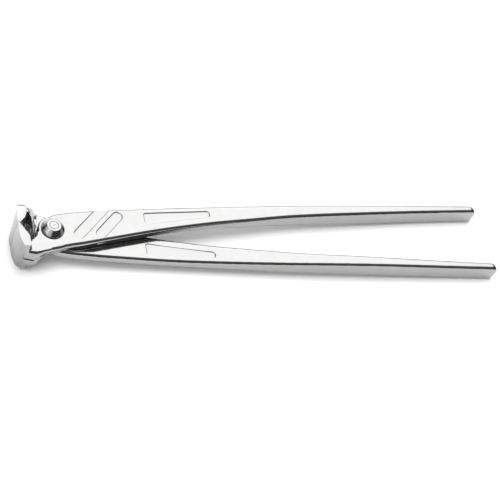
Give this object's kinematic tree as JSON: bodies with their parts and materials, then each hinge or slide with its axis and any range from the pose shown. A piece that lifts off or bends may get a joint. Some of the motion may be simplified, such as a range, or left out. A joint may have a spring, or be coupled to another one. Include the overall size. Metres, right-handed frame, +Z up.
{
  "type": "rebar tying pliers",
  "caption": "Long-handled end nippers that twist and cut tie wire: short wide jaws, riveted lap joint, two slim forged handles.",
  "frame": {"origin": "middle of the underside of the bounding box, with the tool lying flat and its jaws closed", "axes": "+X along the tool from the jaws to the handles' ends, +Y across it towards the front lever's handle, +Z up along the pivot axis, towards the rivet's cone-shaped head"},
  "size_m": [0.3006, 0.0484, 0.0238],
  "materials": {
    "plated_forging": "bright plated over a fine forged and ground surface",
    "polished_rivet": "turned and polished"
  },
  "bodies": {
    "rear_lever": {"rear_lever": "plated_forging", "joint_rivet": "polished_rivet"},
    "front_lever": {"front_lever": "plated_forging"}
  },
  "joints": [
    {"name": "jaw_opening", "type": "hinge", "parent": "rear_lever", "child": "front_lever", "pos_m": [-0.1303, 0, 0.0119], "axis": [0, 0, 1], "range_deg": [0, 28]}
  ]
}
